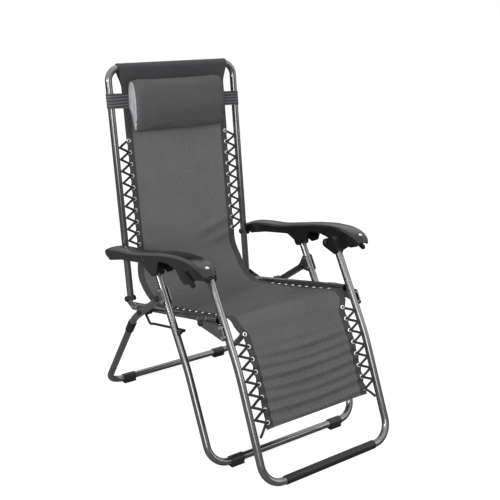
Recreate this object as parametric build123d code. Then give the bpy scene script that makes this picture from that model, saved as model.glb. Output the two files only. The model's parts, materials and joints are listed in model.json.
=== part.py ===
"""Zero gravity recliner: a folding steel tube lounger with a laced textile sling.

Millimetres. +Z up, the sitter faces -Y, +X is the sitter's left. The origin is on the floor, at
the centre of the chair's footprint. Side-view points are (y, z) pairs. The chair stands upright
and locked, ready to sit in.
"""
import os
from math import atan2, cos, degrees, hypot, radians, sin

from build123d import *

# ---- driving dimensions -------------------------------------------------------------------------
TUBE_D = 22.0            # every frame tube
TUBE_WALL = 1.2
RUN = 0.06               # radial clearance of a bolt in its hole
GAP = 0.5                # clearance between pieces that pass each other

LOUNGE_HALF = 231.0      # centre line of back, seat and leg-rest tubes
LEG_STEP = 41.0          # the leg tubes stand this far outside them

# rear leg: floor bar, bend under the seat, pivot behind the front leg
REAR_FLOOR = (432.0, 18.0)
REAR_BEND = (207.0, 335.0)
LEG_PIVOT = (36.0, 453.0)
REAR_BEND_R = 160.0
# front leg: floor bar, gentle bend, top end under the armrest
FRONT_FLOOR = (-231.0, 18.0)
FRONT_BEND = (-110.0, 271.0)
FRONT_TOP = (68.0, 556.0)
FRONT_BEND_R = 500.0
LEG_CORNER_R = 60.0
# seat: rail axis from behind the knee to below the back hinge
RAIL_FRONT = (-211.0, 454.5)
RAIL_REAR = (282.0, 342.6)
SEAT_PIVOT = (155.0, 371.4)
# back
BACK_HINGE = (307.0, 360.0)
BACK_LEAN = 82.87        # degrees above the horizontal
BACK_LENGTH = 726.0      # hinge to the top bar's centre line
BACK_CORNER_R = 40.0
ARM_LINK = 150.0         # hinge to armrest bolt, the same at the back and at the knee
# leg rest
ARM_FRONT_BOLT = (-125.0, 577.0)
LEG_TOP = (-156.0, 586.0)
LEG_BEND = (-306.0, 333.7)
LEG_FOOT = (-432.8, 42.0)
LEG_BEND_R = 500.0
FOOT_CORNER_R = 60.0

# sling
CLOTH = 2.4
BACK_CLOTH_INSET = 41.0  # cloth edge to the lounge tubes' centre line
SEAT_CLOTH_INSET = 26.0
LEG_CLOTH_INSET = 45.0
SLING_SET = 150.0        # how far from the corner the sling leaves the back and the seat
KNEE_SET = 33.0
LEG_CLOTH_END = (-374.0, 177.0)

# lacing
CORD_D = 4.0
EYELET_R = 6.0
EYELET_HOLE_R = 3.2
EYELET_T = 0.9
EYELET_INSET = 7.5       # eyelet centre to the cloth's edge
LOOP_R = 5.0
LOOP_WIRE_R = 1.3
BACK_EYELETS = 10
BACK_EYELET_PITCH = 37.0
BACK_FIRST_EYELET = 503.0   # from the hinge
SEAT_EYELETS = 9
SEAT_EYELET_PITCH = 36.0
SEAT_FIRST_EYELET = 38.0    # from the rail's front end
LEG_EYELETS = 8
LEG_EYELET_PITCH = 35.5
LEG_FIRST_EYELET = 50.0    # from the knee corner

# feet and sleeves
FOOT_R = 14.0
FOOT_LENGTH = 44.0
FOOT_SPACING = 188.0
FOOT_SLEEVE_R = 13.2
FOOT_SLEEVE_HALF = 164.0

# armrest
ARM_GAP = 2.0            # between the armrest and the plates beside the lounge tubes
ARM_WIDTH = 58.0
ARM_WALL = 4.5
ARM_TOP = [(345, 527), (318, 541), (250, 556), (160, 569), (60, 592), (-40, 615), (-120, 627),
           (-190, 627), (-236, 613), (-252, 598)]
ARM_UNDER = [(-246, 590), (-212, 586), (-178, 566), (-150, 556), (-132, 563), (-104, 588),
             (-60, 593), (-6, 586), (4, 545), (34, 532), (96, 553), (215, 531), (298, 508)]
ARM_LUG_R = 14.0

# headrest
PILLOW_HALF = 176.0
PILLOW_HEIGHT = 150.0
PILLOW_DEPTH = 74.0
PILLOW_AT = 615.0        # hinge to the pillow's middle
STRAP_WIDTH = 46.0
STRAP_T = 1.5

BOLT_R = 4.0
HEAD_R = 9.0
HEAD_T = 5.0
PLATE = 3.0
ARM_PLATE = 4.0          # the knee arms are thicker

# ---- sizes that follow ---------------------------------------------------------------------------
TUBE_R = TUBE_D / 2
LEG_HALF = LOUNGE_HALF + LEG_STEP
BACK_CLOTH_HALF = LOUNGE_HALF - BACK_CLOTH_INSET
SEAT_CLOTH_HALF = LOUNGE_HALF - SEAT_CLOTH_INSET
LEG_CLOTH_HALF = LOUNGE_HALF - LEG_CLOTH_INSET
OUTER = LOUNGE_HALF + TUBE_R + GAP       # where plates lie beside the lounge tubes
ARM_IN = OUTER + ARM_GAP
PLATE_OUT = OUTER + PLATE            # outer face of a plate beside the lounge tubes
LACE_LIFT = CLOTH / 2 + EYELET_T + CORD_D / 2 + 0.4
LACE_REACH = LOUNGE_HALF - TUBE_R - LOOP_R + LOOP_WIRE_R
SEAT_LACE_REACH = LOUNGE_HALF - TUBE_R - 0.7     # the seat's cord bears on the rails' rounding
SIDES = (-1, 1)


# ---- side-view geometry -------------------------------------------------------------------------
def along(start, angle, distance, normal=0.0):
    """Point at a distance from start along an angle in degrees, then off to its left."""
    a = radians(angle)
    return (start[0] + distance * cos(a) - normal * sin(a),
            start[1] + distance * sin(a) + normal * cos(a))


def heading(a, b):
    return degrees(atan2(b[1] - a[1], b[0] - a[0]))


def apart(a, b):
    return hypot(b[0] - a[0], b[1] - a[1])


def meet(a, angle_a, b, angle_b):
    """Crossing of two side-view lines."""
    ua, ub = radians(angle_a), radians(angle_b)
    det = cos(ua) * sin(ub) - sin(ua) * cos(ub)
    t = ((b[0] - a[0]) * sin(ub) - (b[1] - a[1]) * cos(ub)) / det
    return along(a, angle_a, t)


BACK_TOP = along(BACK_HINGE, BACK_LEAN, BACK_LENGTH)
ARM_REAR_BOLT = along(BACK_HINGE, BACK_LEAN, ARM_LINK)
KNEE_PIVOT = along(ARM_FRONT_BOLT, BACK_LEAN, -ARM_LINK)
RAIL_ANGLE = heading(RAIL_REAR, RAIL_FRONT)
LEG_ANGLE = heading(LEG_TOP, LEG_BEND)
SHIN_ANGLE = heading(LEG_BEND, LEG_FOOT)
FRONT_ANGLE = heading(FRONT_TOP, FRONT_BEND)
REAR_ANGLE = heading(LEG_PIVOT, REAR_BEND)
SHANK_ANGLE = heading(REAR_BEND, REAR_FLOOR)
SLING_CORNER = meet(RAIL_FRONT, RAIL_ANGLE, BACK_HINGE, BACK_LEAN)
KNEE_CORNER = meet(RAIL_FRONT, RAIL_ANGLE, LEG_TOP, LEG_ANGLE)


# ---- solids -------------------------------------------------------------------------------------
def at(x, point):
    return Vector(x, point[0], point[1])


def tube(points, radii, radius=TUBE_R, wall=TUBE_WALL):
    """Round tube along straight runs joined by bends; wall 0 makes a solid rod."""
    path = FilletPolyline(*points, radius=radii) if radii else Polyline(*points)
    plane = Plane(origin=path @ 0, z_dir=path % 0)
    ring = Circle(radius) - Circle(radius - wall) if wall else Circle(radius)
    return sweep(plane * ring, path=path)


def frame_tube(side_points, bend_r, corner_r, half):
    """U frame: one side's points from top to bottom bar, then the other side's mirrored."""
    near = [at(-half, p) for p in side_points]
    far = [at(half, p) for p in reversed(side_points)]
    radii = [bend_r] * (len(side_points) - 2) + [corner_r]
    return tube(near + far, radii + radii[::-1])


def rod_x(point, x0, x1, radius, hole=0.0):
    """Round piece along X between two stations, on either side of the chair."""
    low, high = sorted((x0, x1))
    ring = Circle(radius) - Circle(hole) if hole else Circle(radius)
    return extrude(Plane.YZ.offset(low) * Pos(point[0], point[1]) * ring, high - low)


def plate_x(points, x0, x1, radius):
    """Flat link along X: the hull of equal circles at the given side-view points."""
    low, high = sorted((x0, x1))
    outline = make_hull([e for p in points for e in (Pos(p[0], p[1]) * Circle(radius)).edges()])
    return extrude(Plane.YZ.offset(low) * outline, high - low)


def cap(point, x, way):
    """Domed bolt head that stands on the plane at x."""
    head = rod_x(point, x, x + way * HEAD_T, HEAD_R)
    tip = [e for e in head.edges().filter_by(GeomType.CIRCLE)
           if abs(e.arc_center.X - x - way * HEAD_T) < HEAD_T / 2]
    return fillet(tip, HEAD_T * 0.6)


def bolt(point, x0, x1, grip=BOLT_R):
    """Through bolt with a domed cap at each end of the stack that it holds."""
    outward = 1 if x1 > x0 else -1
    return rod_x(point, x0, x1, grip) + cap(point, x0, -outward) + cap(point, x1, outward)


def drill(body, point, x, radius=BOLT_R + RUN, reach=None):
    """Round hole along X, through whatever stands within reach of the station x."""
    reach = reach or 1.5 * TUBE_R
    return body - rod_x(point, x - reach, x + reach, radius)


def both(make):
    """The same piece for each side, as one group of separate solids."""
    return Compound(children=[make(s) for s in SIDES])


def sling_panel(route, radii, half, thickness=CLOTH):
    """Cloth of even thickness along a side-view route."""
    points = [Vector(0, *p) for p in route]
    path = FilletPolyline(*points, radius=radii) if radii else Polyline(*points)
    plane = Plane(origin=path @ 0, z_dir=path % 0, x_dir=(1, 0, 0))
    return sweep(plane * Rectangle(2 * half, thickness), path=path)


def ring_at(x, point, angle, height):
    """Eyelet lying on the front face of a panel whose route runs at this angle."""
    a = radians(angle)
    normal = Vector(0, -sin(a), cos(a))
    base = at(x, point) + normal * height
    return extrude(Plane(origin=base, z_dir=normal) * (Circle(EYELET_R) - Circle(EYELET_HOLE_R)),
                   EYELET_T)


def lifted(x, point, angle):
    """Centre of the cord, clear above the eyelets of a panel that runs at this angle."""
    a = radians(angle)
    return at(x, point) + Vector(0, -sin(a), cos(a)) * LACE_LIFT


def loop_at(side, point, angle):
    """Small wire loop on a tube's inner face, for the cord."""
    a = radians(angle)
    plane = Plane(origin=lifted(side * (LACE_REACH + LOOP_WIRE_R), point, angle),
                  x_dir=(1, 0, 0), z_dir=Vector(0, cos(a), sin(a)))
    return plane * Torus(LOOP_R, LOOP_WIRE_R)


def zigzag(side, stations, half):
    """Elastic cord between the eyelets and the wire loops: [(point, angle, at_eyelet)]."""
    return [lifted(side * (half - EYELET_INSET if at_eyelet else LACE_REACH), point, angle)
            for point, angle, at_eyelet in stations]


def cord(points):
    radii = [CORD_D * 0.9] * (len(points) - 2)
    return tube(points, radii, CORD_D / 2, 0)


# ---- legs ---------------------------------------------------------------------------------------
def rear_leg_frame():
    body = frame_tube([LEG_PIVOT_END, REAR_BEND, REAR_FLOOR], REAR_BEND_R, LEG_CORNER_R, LEG_HALF)
    for s in SIDES:
        body = drill(body, LEG_PIVOT, s * LEG_HALF)
        body = drill(body, SEAT_PIVOT, s * LEG_HALF)
    return body


def front_leg_frame():
    body = frame_tube([FRONT_TOP, FRONT_BEND, FRONT_FLOOR], FRONT_BEND_R, LEG_CORNER_R, LEG_HALF)
    for s in SIDES:
        body = drill(body, FRONT_TOP_PIN, s * LEG_HALF)
        for hole in BRACKET_RIVETS:
            body = drill(body, hole, s * LEG_HALF, RIVET_R)
    return body


RIVET_R = 2.5
RIVET_HEAD = 1.6
SEAT_OF_HEAD = 0.3       # a bolt head stands this far off what it holds
EAR = 3.0                # bracket ears
EAR_GAP = 0.3
LEG_PIVOT_END = along(LEG_PIVOT, REAR_ANGLE, -3.0)
BRACKET_OFFSET = 27.0
BRACKET_AT = along(LEG_PIVOT, FRONT_ANGLE - 90, BRACKET_OFFSET)   # on the front leg's centre line
BRACKET_RIVETS = [along(BRACKET_AT, FRONT_ANGLE, d) for d in (-17.0, 17.0)]
FRONT_TOP_PIN = along(FRONT_TOP, FRONT_ANGLE, 9.0)


def floor_pads(point):
    """Grooved plastic shoes that clip round a floor bar, flat underneath."""
    def pad(s):
        x0 = s * (FOOT_SPACING - FOOT_LENGTH / 2)
        x1 = s * (FOOT_SPACING + FOOT_LENGTH / 2)
        shoe = rod_x(point, x0, x1, FOOT_R)
        foot = Box(FOOT_LENGTH, 2 * FOOT_R * 0.8, point[1], align=(Align.CENTER, Align.CENTER,
                                                                  Align.MIN))
        shoe = shoe + Pos(s * FOOT_SPACING, point[0], 0) * foot
        return shoe - rod_x(point, x0, x1, TUBE_R + SEAT_FIT)
    return both(pad)


def bend_sleeves():
    """Plastic sleeves on the rear leg, just below its bend."""
    a = along(REAR_BEND, SHANK_ANGLE, 26.0)
    b = along(REAR_BEND, SHANK_ANGLE, 66.0)
    return both(lambda s: tube([at(s * LEG_HALF, a), at(s * LEG_HALF, b)], None,
                               TUBE_R + 2.6, 2.5))


STOP_ROD_R = 4.0
STOP_KNOB_R = 8.5
STOP_X = LOUNGE_HALF + TUBE_R + 9.5
STOP_ROOT = along(REAR_BEND, REAR_ANGLE, -40.0)
STOP_SAG = (120.0, 338.0)
STOP_KNOB = (-66.0, 379.5)


def stop_rods():
    """Bent rods, welded to the rear legs, whose knobs catch the front legs when they open."""
    def rod(s):
        x = s * STOP_X
        root = at(s * (LEG_HALF - TUBE_R - 0.2), STOP_ROOT)
        turn = Vector(x, STOP_ROOT[0], STOP_ROOT[1])
        sag = at(x, STOP_SAG)
        front = at(x, (STOP_KNOB[0] + 2.0, STOP_KNOB[1] - 0.5))
        tip = at(s * (LEG_HALF - STOP_KNOB_R), STOP_KNOB)
        low = at(x, (STOP_ROOT[0] - 30.0, STOP_ROOT[1] - 28.0))
        return tube([root, turn, low, sag, front, tip], [4.5, 14.0, 60.0, 6.0],
                    STOP_ROD_R, 0)
    return both(rod)


def stop_knobs():
    return both(lambda s: rod_x(STOP_KNOB, s * (LEG_HALF - STOP_KNOB_R), s * (LEG_HALF + 6.0),
                                STOP_KNOB_R))


def leg_pivot_brackets():
    """Saddles riveted to the front legs; the rear legs' top ends swing between their ears."""
    def saddle(s):
        ears = []
        for x0 in (LEG_HALF - TUBE_R - EAR_GAP - EAR, LEG_HALF + TUBE_R + EAR_GAP):
            ears.append(plate_x([LEG_PIVOT, *BRACKET_RIVETS], s * x0, s * (x0 + EAR),
                                TUBE_R - 1.0))
        body = Compound(children=ears)
        near, far = s * (LEG_HALF - 2 * TUBE_R), s * (LEG_HALF + 2 * TUBE_R)
        ear_holes = rod_x(LEG_PIVOT, near, far, BOLT_R + RUN)
        for hole in BRACKET_RIVETS:
            ear_holes += rod_x(hole, near, far, RIVET_R)
        return body - ear_holes
    pieces = [p for s in SIDES for p in saddle(s).solids()]
    return Compound(children=pieces)


def bracket_rivets():
    def rivets(s):
        x0 = s * (LEG_HALF - TUBE_R - EAR_GAP - EAR)
        x1 = s * (LEG_HALF + TUBE_R + EAR_GAP + EAR)
        out = []
        for hole in BRACKET_RIVETS:
            shank = rod_x(hole, x0, x1, RIVET_R)
            out.append(shank + rod_x(hole, x1, x1 + s * RIVET_HEAD, 2 * RIVET_R)
                       + rod_x(hole, x0 - s * RIVET_HEAD, x0, 2 * RIVET_R))
        return out
    return Compound(children=[r for s in SIDES for r in rivets(s)])


def leg_pivot_bolts():
    reach = TUBE_R + EAR_GAP + EAR + SEAT_OF_HEAD
    return both(lambda s: bolt(LEG_PIVOT, s * (LEG_HALF - reach), s * (LEG_HALF + reach)))


BLOCK_HALF = 15.0
BLOCK_WIDTH = 36.0


def slide_blocks():
    """Moulded blocks on the front legs' tops, which run in the armrests' channels."""
    def block(s):
        top = along(FRONT_TOP, FRONT_ANGLE, -2.0)
        low = along(FRONT_TOP, FRONT_ANGLE, 26.0)
        body = plate_x([top, low], s * (LEG_HALF - BLOCK_WIDTH / 2),
                       s * (LEG_HALF + BLOCK_WIDTH / 2), BLOCK_HALF)
        start = along(FRONT_TOP, FRONT_ANGLE, 0.0)
        end = along(FRONT_TOP, FRONT_ANGLE, 60.0)
        body -= tube([at(s * LEG_HALF, start), at(s * LEG_HALF, end)], None, TUBE_R + SEAT_FIT, 0)
        return drill(body, FRONT_TOP_PIN, s * LEG_HALF, reach=BLOCK_WIDTH)
    return both(block)


def slide_pins():
    half = BLOCK_WIDTH / 2
    return both(lambda s: rod_x(FRONT_TOP_PIN, s * (LEG_HALF - half), s * (LEG_HALF + half),
                                BOLT_R))


# ---- seat ---------------------------------------------------------------------------------------
def seat_rail(s):
    body = tube([at(s * LOUNGE_HALF, RAIL_FRONT), at(s * LOUNGE_HALF, RAIL_REAR)], None)
    body = drill(body, SEAT_PIVOT, s * LOUNGE_HALF)
    for hole in PLATE_RIVETS + LUG_RIVETS:
        body = drill(body, hole, s * LOUNGE_HALF, RIVET_R)
    return body


PLATE_RIVETS = [along(RAIL_REAR, RAIL_ANGLE, d) for d in (12.0, 34.0)]
LUG_CENTRE = meet(KNEE_PIVOT, RAIL_ANGLE + 90, RAIL_REAR, RAIL_ANGLE)
LUG_RIVETS = [along(LUG_CENTRE, RAIL_ANGLE, d) for d in (-20.0, 20.0)]
CROSS_R = 8.0
CROSS_FORWARD = 55.0     # from the rails' rear ends
CROSS_AT = along(RAIL_REAR, RAIL_ANGLE, CROSS_FORWARD)


def seat_cross_tube():
    """Rear spreader under the sling's hollow, its flattened ends against the rails."""
    half = LOUNGE_HALF - TUBE_R - 0.05
    return rod_x(CROSS_AT, -half, half, CROSS_R, CROSS_R - TUBE_WALL)


def seat_hinge_plates():
    def plate(s):
        body = plate_x([BACK_HINGE, *PLATE_RIVETS], s * OUTER, s * PLATE_OUT, TUBE_R - 1.0)
        body = drill(body, BACK_HINGE, s * OUTER)
        for hole in PLATE_RIVETS:
            body = drill(body, hole, s * OUTER, RIVET_R)
        return body
    return both(plate)


def knee_lugs():
    """Ears under the rails' front ends that carry the leg rest's pivots."""
    def lug(s):
        body = plate_x([KNEE_PIVOT, *LUG_RIVETS], s * OUTER, s * PLATE_OUT, TUBE_R - 2.0)
        body = drill(body, KNEE_PIVOT, s * OUTER)
        for hole in LUG_RIVETS:
            body = drill(body, hole, s * OUTER, RIVET_R)
        return body
    return both(lug)


def seat_rivets():
    out = []
    for s in SIDES:
        x0, x1 = s * (LOUNGE_HALF - TUBE_R), s * PLATE_OUT
        out += [rod_x(hole, x0, x1, RIVET_R) for hole in LUG_RIVETS]      # flush under the arms
        out += [rod_x(hole, x0, x1, RIVET_R) + rod_x(hole, x1, x1 + s * RIVET_HEAD, 2 * RIVET_R)
                for hole in PLATE_RIVETS]
    return Compound(children=out)


def seat_pivot_bolts():
    return both(lambda s: bolt(SEAT_PIVOT, s * (LOUNGE_HALF - TUBE_R - SEAT_OF_HEAD),
                               s * (LEG_HALF + TUBE_R + SEAT_OF_HEAD)))


SPACER_R = 13.0


def seat_pivot_spacers():
    return both(lambda s: rod_x(SEAT_PIVOT, s * (LOUNGE_HALF + TUBE_R + SEAT_OF_HEAD),
                                s * (LEG_HALF - TUBE_R - SEAT_OF_HEAD), SPACER_R, BOLT_R + RUN))


def rail_caps():
    def cap(s):
        end = along(RAIL_REAR, RAIL_ANGLE, -5.0)
        plug = tube([at(s * LOUNGE_HALF, end), at(s * LOUNGE_HALF, RAIL_REAR)], None, TUBE_R, 0)
        return plug
    return both(cap)


# ---- back ---------------------------------------------------------------------------------------
def back_point(distance, normal=0.0):
    return along(BACK_HINGE, BACK_LEAN, distance, normal)


def back_frame():
    body = frame_tube([BACK_HINGE, BACK_TOP], 0, BACK_CORNER_R, LOUNGE_HALF)
    for s in SIDES:
        end = Pos(s * LOUNGE_HALF, *BACK_HINGE) * Sphere(TUBE_R)
        body = body + (end - split_above(s))
        body = drill(body, BACK_HINGE, s * LOUNGE_HALF)
        body = drill(body, ARM_REAR_BOLT, s * LOUNGE_HALF)
    return body


def split_above(s):
    """Block that removes the half of an end ball lying inside the back tube."""
    a = radians(BACK_LEAN)
    plane = Plane(origin=at(s * LOUNGE_HALF, BACK_HINGE), z_dir=Vector(0, cos(a), sin(a)))
    return extrude(plane * Rectangle(2 * TUBE_D, 2 * TUBE_D), TUBE_D)


def back_sling():
    start = back_point(BACK_CLOTH_START)
    panel = sling_panel([start, back_point(BACK_LENGTH - TUBE_R - 0.6)], None, BACK_CLOTH_HALF)
    sleeve = rod_x(BACK_TOP, -BACK_CLOTH_HALF, BACK_CLOTH_HALF, TUBE_R + 0.4 + CLOTH)
    sleeve = sleeve - rod_x(BACK_TOP, -BACK_CLOTH_HALF, BACK_CLOTH_HALF, TUBE_R + 0.4)
    return panel + sleeve


BACK_CLOTH_START = apart(BACK_HINGE, along(SLING_CORNER, BACK_LEAN, SLING_SET)) + 3.0
BACK_STATIONS = [BACK_FIRST_EYELET - BACK_EYELET_PITCH * k for k in range(BACK_EYELETS)]


def back_eyelets():
    return Compound(children=[
        ring_at(s * (BACK_CLOTH_HALF - EYELET_INSET), back_point(d), BACK_LEAN, CLOTH / 2)
        for s in SIDES for d in BACK_STATIONS])


def back_loops():
    return Compound(children=[
        loop_at(s, back_point(d - BACK_EYELET_PITCH / 2), BACK_LEAN)
        for s in SIDES for d in BACK_STATIONS[:-1]])


def back_lacing(side):
    route = []
    for d in BACK_STATIONS:
        route.append((back_point(d), BACK_LEAN, True))
        route.append((back_point(d - BACK_EYELET_PITCH / 2), BACK_LEAN, False))
    return cord(zigzag(side, route[:-1], BACK_CLOTH_HALF))


# ---- leg rest -----------------------------------------------------------------------------------
def leg_rest_frame():
    body = frame_tube([LEG_TOP, LEG_BEND, LEG_FOOT], LEG_BEND_R, FOOT_CORNER_R, LOUNGE_HALF)
    for s in SIDES:
        for hole in KNEE_ARM_RIVETS:
            body = drill(body, hole, s * LOUNGE_HALF, RIVET_R)
    return body


KNEE_ARM_AT = meet(KNEE_PIVOT, RAIL_ANGLE + 10, LEG_TOP, LEG_ANGLE)
KNEE_ARM_RIVETS = [along(KNEE_ARM_AT, LEG_ANGLE, d) for d in (-14.0, 14.0)]
KNEE_ARM_X = PLATE_OUT + GAP


def knee_arms():
    """Flat arms welded to the leg-rest tubes, reaching back to their pivots under the rails."""
    def arm(s):
        body = plate_x([KNEE_PIVOT, *KNEE_ARM_RIVETS], s * KNEE_ARM_X,
                       s * (KNEE_ARM_X + ARM_PLATE), TUBE_R - 2.0)
        body = drill(body, KNEE_PIVOT, s * KNEE_ARM_X)
        for hole in KNEE_ARM_RIVETS:
            body = drill(body, hole, s * KNEE_ARM_X, RIVET_R)
        return body
    return both(arm)


def knee_arm_bushes():
    """Rivets through each leg-rest tube and its arm, with a spacer between the two."""
    out = []
    for s in SIDES:
        for hole in KNEE_ARM_RIVETS:
            out_face = s * (KNEE_ARM_X + ARM_PLATE)
            shank = rod_x(hole, s * (LOUNGE_HALF - TUBE_R), out_face, RIVET_R)
            spacer = rod_x(hole, s * (LOUNGE_HALF + TUBE_R), s * KNEE_ARM_X, 2 * RIVET_R)
            head = rod_x(hole, out_face, out_face + s * RIVET_HEAD, 2 * RIVET_R)
            out.append(shank + spacer + head)
    return Compound(children=out)


SHELL_R = 13.0           # plastic ends round the leg-rest tubes
SEAT_FIT = 0.05          # plastic pieces pushed onto a tube


def leg_top_brackets():
    """Plastic ends on the leg-rest tubes, with the bolt hole behind the tube."""
    def bracket(s):
        top = along(LEG_TOP, LEG_ANGLE, -4.0)
        low = along(LEG_TOP, LEG_ANGLE, 24.0)
        body = plate_x([ARM_FRONT_BOLT, top, low], s * (LOUNGE_HALF - SHELL_R),
                       s * (LOUNGE_HALF + SHELL_R), SHELL_R)
        body -= tube([at(s * LOUNGE_HALF, LEG_TOP), at(s * LOUNGE_HALF,
                     along(LEG_TOP, LEG_ANGLE, 4 * TUBE_D))], None, TUBE_R + SEAT_FIT, 0)
        return drill(body, ARM_FRONT_BOLT, s * LOUNGE_HALF)
    return both(bracket)


def foot_bar_sleeve():
    return rod_x(LEG_FOOT, -FOOT_SLEEVE_HALF, FOOT_SLEEVE_HALF, FOOT_SLEEVE_R, TUBE_R + SEAT_FIT)


def seat_sling():
    rear = along(SLING_CORNER, BACK_LEAN, SLING_SET)
    knee = along(KNEE_CORNER, LEG_ANGLE, KNEE_SET)
    turn_back = abs(RAIL_ANGLE - BACK_LEAN - 180.0) / 2
    turn_knee = abs(RAIL_ANGLE - LEG_ANGLE - 360.0) / 2
    radii = [0.97 * SLING_SET / tan_deg(turn_back), 0.97 * KNEE_SET / tan_deg(turn_knee)]
    return sling_panel([rear, SLING_CORNER, KNEE_CORNER, knee], radii, SEAT_CLOTH_HALF)


def tan_deg(angle):
    return sin(radians(angle)) / cos(radians(angle))


SEAT_STATIONS = [SEAT_FIRST_EYELET + SEAT_EYELET_PITCH * k for k in range(SEAT_EYELETS)]


def seat_point(distance):
    return along(RAIL_FRONT, RAIL_ANGLE + 180.0, distance)


def seat_eyelets():
    return Compound(children=[
        ring_at(s * (SEAT_CLOTH_HALF - EYELET_INSET), seat_point(d), RAIL_ANGLE + 180.0, CLOTH / 2)
        for s in SIDES for d in SEAT_STATIONS])


def seat_lacing(side):
    """Cord that spirals between the eyelets and the rail, drawn tight."""
    angle = RAIL_ANGLE + 180.0
    points = []
    for d in SEAT_STATIONS:
        points.append(lifted(side * (SEAT_CLOTH_HALF - EYELET_INSET), seat_point(d), angle))
        points.append(lifted(side * SEAT_LACE_REACH, seat_point(d + SEAT_EYELET_PITCH / 2), angle))
    return cord(points)


def leg_sling():
    start = along(KNEE_CORNER, LEG_ANGLE, KNEE_SET + 3.5)
    return sling_panel([start, LEG_BEND, LEG_CLOTH_END], [LEG_BEND_R], LEG_CLOTH_HALF)


UPPER_RUN = apart(KNEE_CORNER, LEG_BEND)
LEG_TURN = SHIN_ANGLE - LEG_ANGLE
LEG_BEND_CUT = LEG_BEND_R * tan_deg(LEG_TURN / 2)


def leg_point(distance):
    """Place and heading on the leg rest's line, at a distance from the knee corner."""
    past = distance - UPPER_RUN
    if past <= -LEG_BEND_CUT:
        return along(KNEE_CORNER, LEG_ANGLE, distance), LEG_ANGLE
    if past >= LEG_BEND_CUT:
        return along(LEG_BEND, SHIN_ANGLE, past), SHIN_ANGLE
    turned = LEG_TURN * (past + LEG_BEND_CUT) / (2 * LEG_BEND_CUT)
    chord = 2 * LEG_BEND_R * sin(radians(turned / 2))
    start = along(LEG_BEND, LEG_ANGLE, -LEG_BEND_CUT)
    return along(start, LEG_ANGLE + turned / 2, chord), LEG_ANGLE + turned


LEG_SPOTS = [leg_point(LEG_FIRST_EYELET + LEG_EYELET_PITCH * k) for k in range(LEG_EYELETS)]


def between(a, b):
    return ((a[0] + b[0]) / 2, (a[1] + b[1]) / 2)


def leg_eyelets():
    return Compound(children=[
        ring_at(s * (LEG_CLOTH_HALF - EYELET_INSET), p, angle + 180.0, CLOTH / 2)
        for s in SIDES for p, angle in LEG_SPOTS])


def leg_gaps():
    return [(between(p, q), (a + b) / 2) for (p, a), (q, b) in zip(LEG_SPOTS, LEG_SPOTS[1:])]


def leg_loops():
    return Compound(children=[loop_at(s, p, angle + 180.0)
                              for s in SIDES for p, angle in leg_gaps()])


def leg_lacing(side):
    route = []
    for (p, angle), gap in zip(LEG_SPOTS, leg_gaps()):
        route.append((p, angle + 180.0, True))
        route.append((gap[0], gap[1] + 180.0, False))
    route.append((LEG_SPOTS[-1][0], SHIN_ANGLE + 180.0, True))
    return cord(zigzag(side, route, LEG_CLOTH_HALF))


# ---- armrests -----------------------------------------------------------------------------------
def armrest(s):
    outer = Plane.YZ * make_face(Spline(*[Vector(*p) for p in ARM_TOP])
                                 + Polyline(*[Vector(*p) for p in [ARM_TOP[-1], *ARM_UNDER,
                                                                   ARM_TOP[0]]]))
    body = extrude(outer, ARM_WIDTH)
    top = [(y, z - ARM_WALL) for y, z in ARM_TOP[1:-2]]
    low = [(top[-1][0], 480.0), (top[0][0], 480.0)]
    inner = Plane.YZ * make_face(Spline(*[Vector(*p) for p in top])
                                 + Polyline(*[Vector(*p) for p in [top[-1], *low, top[0]]]))
    body -= Pos(ARM_WALL, 0, 0) * extrude(inner, ARM_WIDTH - 2 * ARM_WALL)
    body = Pos(ARM_IN, 0, 0) * body
    for hole in (ARM_REAR_BOLT, ARM_FRONT_BOLT):
        body += rod_x(hole, ARM_IN, ARM_IN + ARM_WALL, ARM_LUG_R)
        body = drill(body, hole, ARM_IN)
    body = drill(body, LOCK_AT, ARM_IN + ARM_WIDTH, LOCK_R + RUN)
    return body if s > 0 else mirror(body, about=Plane.YZ)


LOCK_AT = (-158.0, 588.0)
LOCK_R = 5.0


def arm_rear_bolts():
    return both(lambda s: bolt(ARM_REAR_BOLT, s * (LOUNGE_HALF - TUBE_R - SEAT_OF_HEAD),
                               s * (ARM_IN + ARM_WALL + SEAT_OF_HEAD)))


def arm_front_bolts():
    return both(lambda s: bolt(ARM_FRONT_BOLT, s * (LOUNGE_HALF - SHELL_R - SEAT_OF_HEAD),
                               s * (ARM_IN + ARM_WALL + SEAT_OF_HEAD)))


def back_hinge_bolts():
    return both(lambda s: bolt(BACK_HINGE, s * (LOUNGE_HALF - TUBE_R - SEAT_OF_HEAD),
                               s * (PLATE_OUT + SEAT_OF_HEAD)))


def knee_bolts():
    """Bolts screwed into the lugs from outside, so they have one head."""
    x1 = KNEE_ARM_X + ARM_PLATE + SEAT_OF_HEAD
    return both(lambda s: rod_x(KNEE_PIVOT, s * (OUTER - 1.5), s * x1, BOLT_R)
                + cap(KNEE_PIVOT, s * x1, s))


def lock_lever(s):
    """Cam lever on a stub shaft through the armrest's outer wall."""
    out = ARM_IN + ARM_WIDTH
    shaft = rod_x(LOCK_AT, s * (out - 14.0), s * (out + 1.0), LOCK_R)
    tip = along(LOCK_AT, 205.0, 46.0)
    blade = plate_x([LOCK_AT, tip], s * (out + 0.6), s * (out + 6.0), 8.0)
    collar = rod_x(LOCK_AT, s * (out - 14.0), s * (out - ARM_WALL - 0.3), LOCK_R + 4.0)
    return shaft + blade + collar


# ---- headrest -----------------------------------------------------------------------------------
STRAP_CLEAR = 0.6


def strap_outline(extra):
    reach = TUBE_R + STRAP_CLEAR + extra
    return SlotCenterToCenter(2 * LOUNGE_HALF, 2 * reach)


def pillow_strap():
    a = radians(BACK_LEAN)
    low = back_point(PILLOW_AT - STRAP_WIDTH / 2)
    plane = Plane(origin=Vector(0, *low), x_dir=(1, 0, 0), z_dir=Vector(0, cos(a), sin(a)))
    return extrude(plane * (strap_outline(STRAP_T) - strap_outline(0)), STRAP_WIDTH)


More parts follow.
